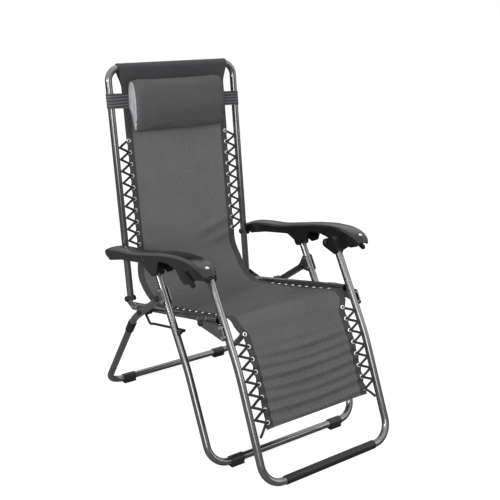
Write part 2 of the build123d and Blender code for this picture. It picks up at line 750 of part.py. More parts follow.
def headrest_pillow():
    rear = TUBE_R + STRAP_CLEAR + STRAP_T + 0.3
    centre = back_point(PILLOW_AT, rear + PILLOW_DEPTH / 2)
    plane = Plane(origin=Vector(-PILLOW_HALF, *centre), z_dir=(1, 0, 0),
                  x_dir=Vector(0, cos(radians(BACK_LEAN)), sin(radians(BACK_LEAN))))
    body = extrude(plane * Ellipse(PILLOW_HEIGHT / 2, PILLOW_DEPTH / 2), 2 * PILLOW_HALF)
    return fillet(body.edges(), 10.0)


# ---- write the nodes ----------------------------------------------------------------------------
def nodes():
    made = {
        "rear_leg_frame": rear_leg_frame(),
        "rear_feet": floor_pads(REAR_FLOOR),
        "rear_bend_sleeves": bend_sleeves(),
        "stop_rods": stop_rods(),
        "stop_knobs": stop_knobs(),
        "front_leg_frame": front_leg_frame(),
        "front_feet": floor_pads(FRONT_FLOOR),
        "leg_pivot_brackets": leg_pivot_brackets(),
        "leg_pivot_rivets": bracket_rivets(),
        "leg_pivot_bolts": leg_pivot_bolts(),
        "slide_blocks": slide_blocks(),
        "slide_pins": slide_pins(),
        "seat_pivot_bolts": seat_pivot_bolts(),
        "seat_pivot_spacers": seat_pivot_spacers(),
        "seat_rail_right": seat_rail(-1),
        "seat_rail_left": seat_rail(1),
        "seat_cross_tube": seat_cross_tube(),
        "seat_hinge_plates": seat_hinge_plates(),
        "knee_lugs": knee_lugs(),
        "seat_rivets": seat_rivets(),
        "seat_rail_caps": rail_caps(),
        "seat_sling": seat_sling(),
        "seat_eyelets": seat_eyelets(),
        "seat_lacing_right": seat_lacing(-1),
        "seat_lacing_left": seat_lacing(1),
        "back_hinge_bolts": back_hinge_bolts(),
        "back_frame": back_frame(),
        "back_sling": back_sling(),
        "back_eyelets": back_eyelets(),
        "back_lace_loops": back_loops(),
        "back_lacing_right": back_lacing(-1),
        "back_lacing_left": back_lacing(1),
        "headrest_pillow": headrest_pillow(),
        "pillow_strap": pillow_strap(),
        "knee_bolts": knee_bolts(),
        "leg_rest_frame": leg_rest_frame(),
        "knee_arms": knee_arms(),
        "knee_arm_rivets": knee_arm_bushes(),
        "leg_top_brackets": leg_top_brackets(),
        "foot_bar_sleeve": foot_bar_sleeve(),
        "leg_sling": leg_sling(),
        "leg_eyelets": leg_eyelets(),
        "leg_lace_loops": leg_loops(),
        "leg_lacing_right": leg_lacing(-1),
        "leg_lacing_left": leg_lacing(1),
        "arm_rear_bolts": arm_rear_bolts(),
        "armrest_right": armrest(-1),
        "armrest_left": armrest(1),
        "arm_front_bolts": arm_front_bolts(),
        "lock_lever_right": lock_lever(-1),
        "lock_lever_left": lock_lever(1),
    }
    return made


os.makedirs("parts", exist_ok=True)
for name, shape in nodes().items():
    export_step(shape, f"parts/{name}.step")
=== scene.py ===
# %% [markdown]
# # A zero gravity recliner
# A lounge chair of bent steel tube. A mesh sling is laced between the tubes with elastic cord,
# and the back, seat, armrests and leg rest move together, so that the sitter leans back with
# the feet raised. The tubes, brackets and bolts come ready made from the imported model. This
# lesson adds what a solid model shows badly: cloth, padding, cord, eyelets, moulded armrests,
# finishes, light and a camera.

# %% Load the frame
import json
import math

import bmesh
import bpy
import numpy as np
from mathutils import Matrix, Vector


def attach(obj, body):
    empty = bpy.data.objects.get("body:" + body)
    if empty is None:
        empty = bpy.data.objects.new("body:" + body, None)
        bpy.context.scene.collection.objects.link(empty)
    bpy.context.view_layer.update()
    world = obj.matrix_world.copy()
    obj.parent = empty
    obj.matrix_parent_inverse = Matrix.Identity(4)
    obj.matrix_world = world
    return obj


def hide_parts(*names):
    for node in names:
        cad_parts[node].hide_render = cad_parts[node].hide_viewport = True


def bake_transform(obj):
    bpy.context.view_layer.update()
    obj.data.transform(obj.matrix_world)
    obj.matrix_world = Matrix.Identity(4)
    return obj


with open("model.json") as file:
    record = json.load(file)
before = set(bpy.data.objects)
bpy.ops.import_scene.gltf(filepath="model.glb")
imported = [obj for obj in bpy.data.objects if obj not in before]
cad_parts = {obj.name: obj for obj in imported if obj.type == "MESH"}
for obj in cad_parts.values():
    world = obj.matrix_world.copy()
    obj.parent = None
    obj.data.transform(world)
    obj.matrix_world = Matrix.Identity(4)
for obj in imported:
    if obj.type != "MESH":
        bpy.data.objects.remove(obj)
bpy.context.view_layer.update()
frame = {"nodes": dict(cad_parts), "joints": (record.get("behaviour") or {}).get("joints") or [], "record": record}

MM = 0.001

# %% [markdown]
# ## Camera
# A camera looks along its own -Z axis. Three unit vectors, right, up and back, are the columns
# of its rotation matrix. A small vertical shift moves the picture up without tilting the
# camera, so that upright tubes don't lean.

# %% Camera
scene = bpy.context.scene
AZIMUTH = math.radians(-35.877)
ELEVATION = math.radians(18.892)
ROLL = math.radians(0.335)
back = Vector((math.sin(AZIMUTH) * math.cos(ELEVATION),
               -math.cos(AZIMUTH) * math.cos(ELEVATION),
               math.sin(ELEVATION)))
level = Vector((math.cos(AZIMUTH), math.sin(AZIMUTH), 0))
upward = back.cross(level)
right = level * math.cos(ROLL) + upward * math.sin(ROLL)
up = upward * math.cos(ROLL) - level * math.sin(ROLL)
lens = bpy.data.cameras.new("camera")
lens.lens = 59.45
lens.sensor_width = 36
lens.shift_x = -0.0009
lens.shift_y = 0.0465
camera = bpy.data.objects.new("camera", lens)
scene.collection.objects.link(camera)
camera.matrix_world = (Matrix.Translation((-1.3891, -1.9570, 1.3079))
                       @ Matrix((right, up, back)).transposed().to_4x4())
scene.camera = camera
print("camera looks along", tuple(round(c, 3) for c in -back))

# %% [markdown]
# ## Side view of the chair
# Every piece is a shape in the side view, carried across the width. So places are worked out
# as pairs (y, z) in millimetres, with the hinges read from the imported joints.

# %% Side-view helpers
JOINT_AT = {j["name"]: [v / MM for v in j["pos_m"][1:]] for j in frame["joints"] if "pos_m" in j}
HINGE = JOINT_AT["back_recline"]
ARM_REAR_BOLT = JOINT_AT["armrest_slide_back"]
BACK_LEAN = math.degrees(math.atan2(ARM_REAR_BOLT[1] - HINGE[1], ARM_REAR_BOLT[0] - HINGE[0]))
ARM_FRONT_BOLT = (-125.0, 577.0)
LOUNGE_HALF = 231.0
TUBE_R = 11.0


def along(start, angle, distance, off=0.0):
    """Side-view point at a distance along an angle in degrees, then off to its left."""
    a = math.radians(angle)
    return (start[0] + distance * math.cos(a) - off * math.sin(a),
            start[1] + distance * math.sin(a) + off * math.cos(a))


def at(x, point):
    """A side-view point in mm, at the station x across the chair, as a place in metres."""
    return Vector((x, point[0], point[1])) * MM


def on_back(distance, off=0.0):
    """A point up the back from its hinge; off is how far it stands out toward the sitter."""
    return along(HINGE, BACK_LEAN, distance, off)


print("back leans", round(BACK_LEAN, 2), "degrees; hinge at", [round(v, 1) for v in HINGE])

# %% [markdown]
# ## Helpers for pieces
# A bmesh becomes an object once, at the origin, so a finish that reads Object coordinates
# keeps its place. Modifiers are applied by reading the evaluated mesh back.


# %% Object helpers
def keep(name, bm, materials, smooth=35.0):
    """Turn a bmesh into an object, smooth except across sharp bends."""
    mesh = bpy.data.meshes.new(name)
    bm.to_mesh(mesh)
    bm.free()
    obj = bpy.data.objects.new(name, mesh)
    scene.collection.objects.link(obj)
    for material in materials:
        mesh.materials.append(material)
    mesh.shade_smooth()
    if smooth:
        mesh.set_sharp_from_angle(angle=math.radians(smooth))
    return obj


def apply_all(obj):
    """Put the result of the object's modifiers into its own mesh."""
    deps = bpy.context.evaluated_depsgraph_get()
    made = bpy.data.meshes.new_from_object(obj.evaluated_get(deps))
    obj.modifiers.clear()
    obj.data = made
    return obj


def islands(node):
    """The separate rings or loops of a CAD node: each one's centre and the axis it lies round."""
    bm = bmesh.new()
    bm.from_mesh(frame["nodes"][node].data)
    bmesh.ops.remove_doubles(bm, verts=bm.verts, dist=1e-6)
    left, found = set(bm.verts), []
    while left:
        group, front = set(), [left.pop()]
        while front:
            vert = front.pop()
            group.add(vert)
            for edge in vert.link_edges:
                other = edge.other_vert(vert)
                if other in left:
                    left.discard(other)
                    front.append(other)
        points = np.array([v.co for v in group])
        centre = (points.min(0) + points.max(0)) / 2
        axis = np.linalg.svd(points - points.mean(0), full_matrices=False)[2][2]
        found.append((Vector(centre), Vector(axis)))
    bm.free()
    return sorted(found, key=lambda ring: -ring[0].z)


print("eyelets on the back:", len(islands("back_eyelets")))

# %% [markdown]
# ## Helpers for finishes
# A finish is a small tree of nodes. One helper adds a node with its settings and links.
# Colours are written as the sRGB hex value that the eye sees, and turned to linear once.


# %% Finish helpers
def colour(text):
    """sRGB hex to the linear RGBA that a shader takes."""
    parts = [int(text[i:i + 2], 16) / 255 for i in (1, 3, 5)]
    return (*(c / 12.92 if c <= 0.04045 else ((c + 0.055) / 1.055) ** 2.4 for c in parts), 1.0)


def node(tree, kind, links=(), **settings):
    """Add a node. settings are its properties or input names, links are (input, output) pairs."""
    made = tree.nodes.new("ShaderNode" + kind)
    for name, value in settings.items():
        if hasattr(made, name):
            setattr(made, name, value)
        else:
            made.inputs[name.replace("_", " ")].default_value = value
    for socket, source in links:
        tree.links.new(source, made.inputs[socket])
    return made


def finish(name, base, roughness, metallic=0.0, **shader):
    """A new material with its shader set, ready for detail."""
    material = bpy.data.materials.new(name)
    material.use_nodes = True
    tree = material.node_tree
    skin = tree.nodes["Principled BSDF"]
    skin.inputs["Base Color"].default_value = colour(base)
    skin.inputs["Roughness"].default_value = roughness
    skin.inputs["Metallic"].default_value = metallic
    for socket, value in shader.items():
        skin.inputs[socket.replace("_", " ")].default_value = value
    return material, tree, skin


def place(tree, source="Object", scale=1.0):
    """Coordinates in metres times scale, so scale is repeats per metre."""
    coords = node(tree, "TexCoord")
    return node(tree, "Mapping", [("Vector", coords.outputs[source])],
                Scale=(scale, scale, scale)).outputs["Vector"]


def grain(tree, skin, size_mm, strength, depth_mm=0.05, detail=3.0):
    """Fine bumps of a real size in mm."""
    noise = node(tree, "TexNoise", [("Vector", place(tree))], Scale=1000 / size_mm, Detail=detail)
    bump = node(tree, "Bump", [("Height", noise.outputs["Fac"])],
                Strength=strength, Distance=depth_mm * MM)
    tree.links.new(bump.outputs["Normal"], skin.inputs["Normal"])
    return noise


def shade_between(tree, factor, low, high, to):
    """Two colours mixed by a 0 to 1 factor into a socket."""
    mix = node(tree, "Mix", [("Factor", factor)], data_type="RGBA")
    mix.inputs["A"].default_value = colour(low)
    mix.inputs["B"].default_value = colour(high)
    tree.links.new(mix.outputs["Result"], to)
    return mix


# %% [markdown]
# ## Paint, plastic, rubber and metal
# The tube is powder coated: dry paint baked on the steel, which flows to a satin skin with a
# faint orange peel. Much metal flake in it makes the graphite shade glint as steel does.

# %% Powder coat
powder_coat, tree, skin = finish("powder_coat_graphite", "#6a6a6c", 0.2, 0.85)
PEEL_MM = 1.6
grain(tree, skin, PEEL_MM, 0.25, 0.03)
patchy = node(tree, "TexNoise", [("Vector", place(tree))], Scale=9.0, Detail=4.0)
shade_between(tree, patchy.outputs["Fac"], "#626264", "#747476", skin.inputs["Base Color"])
print("powder coat ready")

# %% [markdown]
# Moulded nylon and polypropylene pieces have a spark-eroded grain from the mould, fine and
# dull. The armrests are the same plastic from a smoother mould, so they shine more.

# %% Plastics and rubber
black_plastic, tree, skin = finish("moulded_black_nylon", "#131314", 0.44,
                                    Specular_IOR_Level=0.3)
MOULD_GRAIN_MM = 0.9
grain(tree, skin, MOULD_GRAIN_MM, 0.35, 0.04)

armrest_plastic, tree, skin = finish("satin_moulded_polypropylene", "#171718", 0.24,
                                       Specular_IOR_Level=0.34)
grain(tree, skin, MOULD_GRAIN_MM, 0.22, 0.03)
smear = node(tree, "TexNoise", [("Vector", place(tree))], Scale=14.0, Detail=5.0)
shade_between(tree, smear.outputs["Fac"], "#131314", "#1c1c1e", skin.inputs["Base Color"])

foot_plastic, tree, skin = finish("scuffed_polyethylene", "#0d0d0e", 0.5)
grain(tree, skin, 1.4, 0.4, 0.06)

rubber, tree, skin = finish("black_rubber", "#141414", 0.7)
grain(tree, skin, 0.8, 0.3, 0.05)
print("plastics ready")

# %% [markdown]
# Bright parts: nickel-plated brass eyelets and zinc-plated rivets. Bolt heads are blackened
# steel. Plated metal is never quite clean, so its roughness drifts a little.

# %% Metals
nickel, tree, skin = finish("nickel_plated_brass", "#cfcecb", 0.3, 1.0)
grain(tree, skin, 3.0, 0.12, 0.02)
zinc, tree, skin = finish("zinc_plated_steel", "#b4b6ba", 0.34, 1.0)
grain(tree, skin, 1.2, 0.2, 0.02)
bolt_steel, tree, skin = finish("blackened_steel", "#2c2d30", 0.38, 0.7)
grain(tree, skin, 1.0, 0.2, 0.02)
wire_paint, tree, skin = finish("black_painted_wire", "#1b1b1d", 0.4, 0.2)
grain(tree, skin, 1.5, 0.15, 0.02)
print("metals ready")

# %% [markdown]
# ## Woven mesh, braid and elastic
# The sling is textilene: polyester yarns coated in PVC, dark one way and grey the other, in a
# plain weave. Each crossing shows one yarn, so the cloth is a chequer of the two, and each
# yarn is a ridge. The pattern reads the cloth's own UV map, which is laid out in metres.

# %% Woven cloth
# Real yarns are about 1.2 mm apart. Drawn so fine they would blur to one grey, so they are
# drawn about twice as coarse, with a rib of the warp at every second one. The cloth is
# painted a little darker down its length toward the leg rest: painted shade where less light falls.
YARN_MM = 2.6
WARP_MM = 5.2
HEM_MM = 24.0
# where the painted shade toward the leg rest starts and is full, in metres along the cloth, and the tone there
SHADE_START_M, SHADE_FULL_M, SHADE_TONE = 0.55, 1.15, 0.72


def woven(name, dark, light, hem_dark, hem_light, uv="cut", edge="edge"):
    material, tree, skin = finish(name, light, 0.62)
    skin.inputs["Specular IOR Level"].default_value = 0.35
    spread = node(tree, "UVMap", uv_map=uv)
    yarns = node(tree, "Mapping", [("Vector", spread.outputs["UV"])],
                 Scale=(1 / (YARN_MM * MM),) * 3)
    check = node(tree, "TexChecker", [("Vector", yarns.outputs["Vector"])], Scale=1.0)
    fade = node(tree, "TexNoise", [("Vector", place(tree))], Scale=11.0, Detail=3.0)
    field = node(tree, "Mix", [("Factor", check.outputs["Fac"])], data_type="RGBA")
    field.inputs["A"].default_value = colour(dark)
    field.inputs["B"].default_value = colour(light)
    border = node(tree, "Mix", [("Factor", check.outputs["Fac"])], data_type="RGBA")
    border.inputs["A"].default_value = colour(hem_dark)
    border.inputs["B"].default_value = colour(hem_light)
    rim = node(tree, "UVMap", uv_map=edge)
    away = node(tree, "SeparateXYZ", [("Vector", rim.outputs["UV"])])
    inside = node(tree, "MapRange", [("Value", away.outputs["X"])])
    inside.inputs["From Min"].default_value = (HEM_MM - 0.5) * MM
    inside.inputs["From Max"].default_value = (HEM_MM + 0.5) * MM
    both = node(tree, "Mix", [("Factor", inside.outputs["Result"]),
                              ("A", border.outputs["Result"]),
                              ("B", field.outputs["Result"])], data_type="RGBA")
    worn = node(tree, "MapRange", [("Value", fade.outputs["Fac"])])
    worn.inputs["To Min"].default_value = 0.86
    worn.inputs["To Max"].default_value = 1.12
    warp = node(tree, "TexWave", [("Vector", spread.outputs["UV"])],
                Scale=math.pi * 1000 / WARP_MM / 10, bands_direction="X")
    down = node(tree, "SeparateXYZ", [("Vector", spread.outputs["UV"])])
    # painted shade: the cloth darkens from 0.55 m to 1.15 m along it, toward the leg rest
    painted_shade = node(tree, "MapRange", [("Value", down.outputs["Y"])])
    for socket, value in (("From Min", SHADE_START_M), ("From Max", SHADE_FULL_M),
                          ("To Min", 1.0), ("To Max", SHADE_TONE)):
        painted_shade.inputs[socket].default_value = value
    row = node(tree, "MapRange", [("Value", warp.outputs["Fac"])])
    row.inputs["To Min"].default_value = 0.8
    row.inputs["To Max"].default_value = 1.12
    tone = node(tree, "Math", [(0, worn.outputs["Result"]), (1, row.outputs["Result"])],
                operation="MULTIPLY")
    # random wear and warp rows, times the painted shade toward the leg rest
    wear_and_shade = node(tree, "Math", [(0, tone.outputs["Value"]), (1, painted_shade.outputs["Result"])],
                operation="MULTIPLY")
    toned = node(tree, "VectorMath", [(0, both.outputs["Result"]),
                                      (3, wear_and_shade.outputs["Value"])], operation="SCALE")
    tree.links.new(toned.outputs["Vector"], skin.inputs["Base Color"])
    ridge = node(tree, "TexWave", [("Vector", yarns.outputs["Vector"])],
                 Scale=math.pi / 2 / 10 * 2, bands_direction="X")
    rib = node(tree, "TexWave", [("Vector", yarns.outputs["Vector"])],
               Scale=math.pi / 2 / 10 * 2, bands_direction="Y")
    over = node(tree, "Mix", [("Factor", check.outputs["Fac"]), ("A", ridge.outputs["Fac"]),
                              ("B", rib.outputs["Fac"])], data_type="FLOAT")
    bump = node(tree, "Bump", [("Height", over.outputs["Result"])],
                Strength=0.5, Distance=0.35 * MM)
    tree.links.new(bump.outputs["Normal"], skin.inputs["Normal"])
    return material


sling_cloth = woven("textilene_grey_black", "#2c2c2e", "#8a8a8c", "#1d1d1f", "#515154")
pillow_cloth = woven("textilene_pillow", "#1e1e20", "#6a6a6c", "#96969a", "#bcbcbe")
print("weave pitch", YARN_MM, "mm")

# %% [markdown]
# Elastic cord is a rubber core in a braided polyester jacket. Its curve's own UV runs along
# the cord, so slanting waves across it look like the strands of the braid. The pillow's strap
# is woven elastic with ribs that run along it.

# %% Braid and elastic
braid, tree, skin = finish("braided_elastic_cord", "#111112", 0.75)
strands = node(tree, "TexWave", [("Vector", place(tree))], Scale=230.0, Distortion=1.5,
               bands_direction="DIAGONAL")
shade_between(tree, strands.outputs["Fac"], "#0a0a0b", "#1c1c1e", skin.inputs["Base Color"])
twist = node(tree, "Bump", [("Height", strands.outputs["Fac"])], Strength=0.5,
             Distance=0.25 * MM)
tree.links.new(twist.outputs["Normal"], skin.inputs["Normal"])

elastic, tree, skin = finish("ribbed_woven_elastic", "#202022", 0.8)
RIB_MM = 9.2
ribs = node(tree, "TexWave", [("Vector", place(tree))], Scale=math.pi * 1000 / RIB_MM / 10,
            bands_direction="Z")
shade_between(tree, ribs.outputs["Fac"], "#2c2c2f", "#636366", skin.inputs["Base Color"])
THREAD_MM = 0.9
grain(tree, skin, THREAD_MM, 0.3, 0.05)
print("cord and elastic ready")

# %% [markdown]
# ## Finishes on the ready-made parts
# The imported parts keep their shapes. Each one's material slots get the finish of the real
# piece, chosen by the slot that the record gives it.

# %% Assign finishes
SLOT_FINISH = {
    "powder_coat": powder_coat,
    "black_plastic": black_plastic,
    "black_rubber": rubber,
    "black_wire": wire_paint,
    "bolt_steel": bolt_steel,
    "plated_steel": zinc,
    "eyelet_steel": nickel,
    "elastic_cord": braid,
    "elastic_strap": elastic,
    "sling_cloth": sling_cloth,
    "pillow_cloth": pillow_cloth,
}
FEET = ("front_feet", "rear_feet")
for part in frame["record"]["subparts"]:
    coat = foot_plastic if part["node"] in FEET else SLOT_FINISH[part["material_slot"]]
    obj = frame["nodes"][part["node"]]
    obj.data.materials.clear()
    obj.data.materials.append(coat)

# %% [markdown]
# ## Lacing
# One elastic cord runs down each side of each panel. It drops through an eyelet, passes
# behind the cloth to a wire loop on the tube, turns in the loop and comes back over the front
# to the next eyelet. A smooth NURBS curve through these few points bends as elastic does.

# %% Lacing cords
CORD_R = 3.8
DIP_MM = 5.2


def lacing(name, eyelets, loops, side, normal_side, body, replaced, tail=()):
    """An elastic cord from eyelet to loop down one side. Both lists run from the top."""
    rings = [r for r in islands(eyelets) if r[0].x * side > 0]
    turns = [r[0] for r in islands(loops) if r[0].x * side > 0] if loops else None
    points = []
    for k, (centre, axis) in enumerate(rings):
        out = axis if axis.dot(normal_side) > 0 else -axis
        lift = out * DIP_MM * MM
        aside = Vector((side * 3.0 * MM, 0, 0))
        points += [centre + lift * 0.8 + aside, centre + out * 0.5 * MM, centre - lift + aside]
        if k + 1 < len(rings):
            if turns:
                hook = turns[k]
            else:
                hook = (centre + rings[k + 1][0]) / 2 + Vector((side * 16.0 * MM, 0, 0))
                hook = hook - out * 1.0 * MM
            points += [hook - out * 1.5 * MM, hook + out * 1.5 * MM]
    points = points[1:] + [Vector(p) for p in tail]
    curve = bpy.data.curves.new(name, "CURVE")
    curve.dimensions = "3D"
    curve.bevel_depth = CORD_R * MM
    curve.bevel_resolution = 3
    curve.resolution_u = 5
    curve.use_fill_caps = True
    spline = curve.splines.new("NURBS")
    spline.points.add(len(points) - 1)
    for target, point in zip(spline.points, points):
        target.co = (*point, 1.0)
    spline.order_u = 3
    spline.use_endpoint_u = True
    curve.materials.append(braid)
    obj = bpy.data.objects.new(name, curve)
    scene.collection.objects.link(obj)
    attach(obj, body)
    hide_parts(replaced)
    print(name, round(spline.calc_length() / MM), "mm of cord")
    return obj


SITTER_BACK = Vector((0, -math.sin(math.radians(BACK_LEAN)), math.cos(math.radians(BACK_LEAN))))
SITTER_UP = Vector((0, -0.2, 1))
SITTER_LEG = Vector((0, -1, 0.4))
for side, word in ((-1, "right"), (1, "left")):
    lacing(f"lacing_back_{word}", "back_eyelets", "back_lace_loops", side, SITTER_BACK,
           "back", f"back_lacing_{word}")
    lacing(f"lacing_seat_{word}", "seat_eyelets", None, side, SITTER_UP,
           "seat", f"seat_lacing_{word}")
    last = [r for r in islands("leg_eyelets") if r[0].x * side > 0][-1][0]
    tail = [last + Vector((side * 20 * MM, -8 * MM, -14 * MM)),
            last + Vector((side * 34 * MM, -13 * MM, -30 * MM))]
    lacing(f"lacing_leg_{word}", "leg_eyelets", "leg_lace_loops", side, SITTER_LEG,
           "leg_rest", f"leg_lacing_{word}", tail)
print("six lacing cords")

# %% [markdown]
# ## Eyelets
# An eyelet is a tube of plated brass rolled over into a round flange. Its half section, a few
# points from the hole to the rim, is spun once round, and the ring is copied to each place.


# %% Eyelets
def grommet():
    """One rolled eyelet round the Z axis, as a bmesh."""
    bm = bmesh.new()
    section = [(3.3, -1.8), (3.3, 0.2), (3.7, 1.0), (4.8, 1.5), (6.1, 1.1), (6.9, 0.2),
               (6.9, -1.8)]
    verts = [bm.verts.new((r * MM, 0, z * MM)) for r, z in section]
    edges = [bm.edges.new(pair) for pair in zip(verts, verts[1:])]
    edges.append(bm.edges.new((verts[-1], verts[0])))
    bmesh.ops.spin(bm, geom=verts + edges, cent=(0, 0, 0), axis=(0, 0, 1), angle=math.tau,
                   steps=18, use_merge=True)
    bmesh.ops.remove_doubles(bm, verts=bm.verts, dist=1e-7)
    bmesh.ops.recalc_face_normals(bm, faces=bm.faces)
    return bm


def eyelet_row(name, cad, normal_side, body):
    ring = grommet()
    one = bpy.data.meshes.new(name + "_one")
    ring.to_mesh(one)
    ring.free()
    bm = bmesh.new()
    for centre, axis in islands(cad):
        out = axis if axis.dot(normal_side) > 0 else -axis
        start = len(bm.verts)
        bm.from_mesh(one)
        bm.verts.ensure_lookup_table()
        turn = out.to_track_quat("Z", "X").to_matrix().to_4x4()
        bmesh.ops.transform(bm, matrix=Matrix.Translation(centre) @ turn,
                            verts=bm.verts[start:])
    obj = keep(name, bm, [nickel], 50)
    bpy.data.meshes.remove(one)
    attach(obj, body)
    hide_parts(cad)
    return obj


eyelet_row("rolled_eyelets_back", "back_eyelets", SITTER_BACK, "back")
eyelet_row("rolled_eyelets_seat", "seat_eyelets", SITTER_UP, "seat")
eyelet_row("rolled_eyelets_leg", "leg_eyelets", SITTER_LEG, "leg_rest")
print("eyelets rolled")

# %% [markdown]
# ## Sling
# The sling is one length of mesh from the top bar to below the bend of the leg rest. In the
# side view it is a route of straight runs and arcs, and a point on the cloth is a distance
# along this route and a place across it. A grid is remapped onto that, with a little sag
# between the laced sides, soft folds where the back is slack, and a raised hem.

# %% Sling route
CORNER = (304.0, 337.5)
KNEE = (-229.5, 459.5)
BEND = (-306.0, 333.7)
CLOTH_END = (-374.0, 177.0)
SEAM_AT = 668.0
HOLLOW_R = 131.7
KNEE_R = 44.0
BEND_R = 500.0


def heading(a, b):
    return math.degrees(math.atan2(b[1] - a[1], b[0] - a[0])) % 360


def build_route():
    """Straight runs and arcs as (start point, heading, length, turn in degrees)."""
    corners = [on_back(SEAM_AT), CORNER, KNEE, BEND, CLOTH_END]
    radii = [HOLLOW_R, KNEE_R, BEND_R]
    legs, point, cut = [], corners[0], 0.0
    for k in range(len(corners) - 1):
        way = heading(corners[k], corners[k + 1])
        run = math.hypot(corners[k + 1][0] - corners[k][0], corners[k + 1][1] - corners[k][1])
        turn = 0.0
        next_cut = 0.0
        if k < len(radii):
            turn = heading(corners[k + 1], corners[k + 2]) - way
            next_cut = radii[k] * math.tan(math.radians(abs(turn) / 2))
        straight = run - cut - next_cut
        legs.append((point, way, straight, 0.0))
        point = along(point, way, straight)
        if turn:
            legs.append((point, way, radii[k] * math.radians(abs(turn)), turn))
            point = along(corners[k + 1], way + turn, next_cut)
        cut = next_cut
    return legs


ROUTE = build_route()
STATIONS = [0.0]
for leg in ROUTE:
    STATIONS.append(STATIONS[-1] + leg[2])
ROUTE_END = STATIONS[-1]


def on_route(s):
    """Side-view point and heading at a distance along the cloth."""
    for k, (start, way, length, turn) in enumerate(ROUTE):
        if s <= STATIONS[k + 1] or k == len(ROUTE) - 1:
            t = s - STATIONS[k]
            if not turn:
                return along(start, way, t), way
            radius = length / math.radians(abs(turn))
            swept = turn * t / length
            half = math.radians(abs(swept) / 2)
            return along(start, way + swept / 2, 2 * radius * math.sin(half)), way + swept


print("cloth runs", round(ROUTE_END), "mm:", [round(v) for v in STATIONS])


# %% Sling surface
BACK_HALF, SEAT_HALF, LEG_HALF = 190.0, 205.0, 186.0
SEAT_FRONT_AT = STATIONS[3]
KNEE_END_AT = STATIONS[4]
CLOTH_T = 1.6
CLOTH_COLUMNS = 96
SCALLOP = 2.4


def ease(t):
    t = min(max(t, 0.0), 1.0)
    return t * t * (3 - 2 * t)


def bulge(s, low, high):
    """0 outside a stretch of cloth, 1 at its middle."""
    if s <= low or s >= high:
        return 0.0
    return math.sin(math.pi * (s - low) / (high - low)) ** 2


def half_width(s):
    wide = BACK_HALF + (SEAT_HALF - BACK_HALF) * ease((s - STATIONS[1] + 20) / 90)
    return wide + (LEG_HALF - SEAT_HALF) * ease((s - KNEE_END_AT + 15) / 48)


def lace_spots():
    """Distances along the cloth at which an eyelet holds its edge."""
    line = [on_route(s)[0] for s in range(int(ROUTE_END))]
    spots = []
    for cad in ("back_eyelets", "seat_eyelets", "leg_eyelets"):
        for centre in (ring[0] for ring in islands(cad) if ring[0].x > 0):
            spots.append(min(range(len(line)), key=lambda k: math.hypot(
                line[k][0] - centre.y / MM, line[k][1] - centre.z / MM)))
    return sorted(spots)


LACED_AT = lace_spots()
print("laced every", LACED_AT[1] - LACED_AT[0], "mm, at", len(LACED_AT), "places a side")


def slack_edge(s):
    """0 at an eyelet, 1 half-way between two."""
    k = int(np.searchsorted(LACED_AT, s))
    if k == 0 or k == len(LACED_AT):
        return 0.0
    return 0.5 - 0.5 * math.cos(math.tau * (s - LACED_AT[k - 1]) / (LACED_AT[k] - LACED_AT[k - 1]))


BACK_SAG, SEAT_SAG, LEG_SAG = 8.0, 10.0, 3.0
CREASE = 4.2
LEG_FOLD, LEG_FOLD_PITCH = 3.7, 31.0


def cloth_height(s, w):
    """How far the cloth stands toward the sitter from its route."""
    slack = 1 - w * w
    height = -BACK_SAG * slack * bulge(s, 30, STATIONS[1] + 60)
    height -= SEAT_SAG * slack * bulge(s, STATIONS[2] + 10, SEAT_FRONT_AT + 10)
    fold = math.exp(-((s - STATIONS[1] + 34 + 60 * w) / 15) ** 2) * ease((w - 0.05) / 0.5)
    fold += 0.8 * math.exp(-((s - STATIONS[1] - 6 + 46 * w) / 12) ** 2) * ease((w - 0.2) / 0.5)
    fold += 0.5 * math.exp(-((s - STATIONS[1] + 10 - 40 * w) / 14) ** 2) * ease((-w - 0.3) / 0.4)
    height += CREASE * fold * (1 - w ** 8)
    on_leg = ease((s - KNEE_END_AT) / 30)
    wave = math.sin(math.tau * s / LEG_FOLD_PITCH + 2.2 * w * w)
    wave += 0.4 * math.sin(math.tau * s / 47 + 1.5 * w)
    height += LEG_FOLD * ease((s - KNEE_END_AT - 45) / 70) * wave * (1 - 0.55 * w * w)
    height -= LEG_SAG * on_leg * slack
    return height


def cloth_piece(name, s0, s1, rows, replaced):
    """One stretch of the sling, as a sheet of even thickness with its own UV maps."""
    bm = bmesh.new()
    bmesh.ops.create_grid(bm, x_segments=CLOTH_COLUMNS, y_segments=rows, size=0.5)
    cut = bm.loops.layers.uv.new("cut")
    edge = bm.loops.layers.uv.new("edge")
    spot = {}
    for v in bm.verts:
        w = v.co.x * 2
        s = s0 + (v.co.y + 0.5) * (s1 - s0)
        spot[v.index] = (w, s)
    for face in bm.faces:
        for loop in face.loops:
            w, s = spot[loop.vert.index]
            half = half_width(s)
            loop[cut].uv = (w * half * MM, s * MM)
            loop[edge].uv = ((1 - abs(w)) * half * MM, s * MM)
    for v in bm.verts:
        w, s = spot[v.index]
        point, way = on_route(s)
        half = half_width(s)
        rim = (1 - abs(w)) * half
        scallop = SCALLOP * math.exp(-rim / 9) * slack_edge(s)
        x = w * half - math.copysign(scallop, w)
        raised = 0.7 * ease((HEM_MM - rim + 1.5) / 3)
        groove = 0.5 * math.exp(-((rim - HEM_MM + 3) / 1.4) ** 2)
        v.co = at(x, along(point, way, 0.0, -(cloth_height(s, w) + raised - groove)))
    bmesh.ops.recalc_face_normals(bm, faces=bm.faces)
    obj = keep(name, bm, [sling_cloth], 0)
    solid = obj.modifiers.new("cloth", "SOLIDIFY")
    solid.thickness = CLOTH_T * MM
    solid.offset = 0.0
    apply_all(obj)
    obj.data.set_sharp_from_angle(angle=math.radians(60))
    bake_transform(obj)
    if replaced:
        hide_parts(replaced)
    return obj


# %% [markdown]
# The cloth crosses three hinges, and a blend turns one piece between two bodies. So the sling
# is four stretches that meet edge to edge.

# %% Four stretches of cloth
REAR_SEAM = (STATIONS[1] + STATIONS[2]) / 2
KNEE_SEAM = (STATIONS[3] + STATIONS[4]) / 2


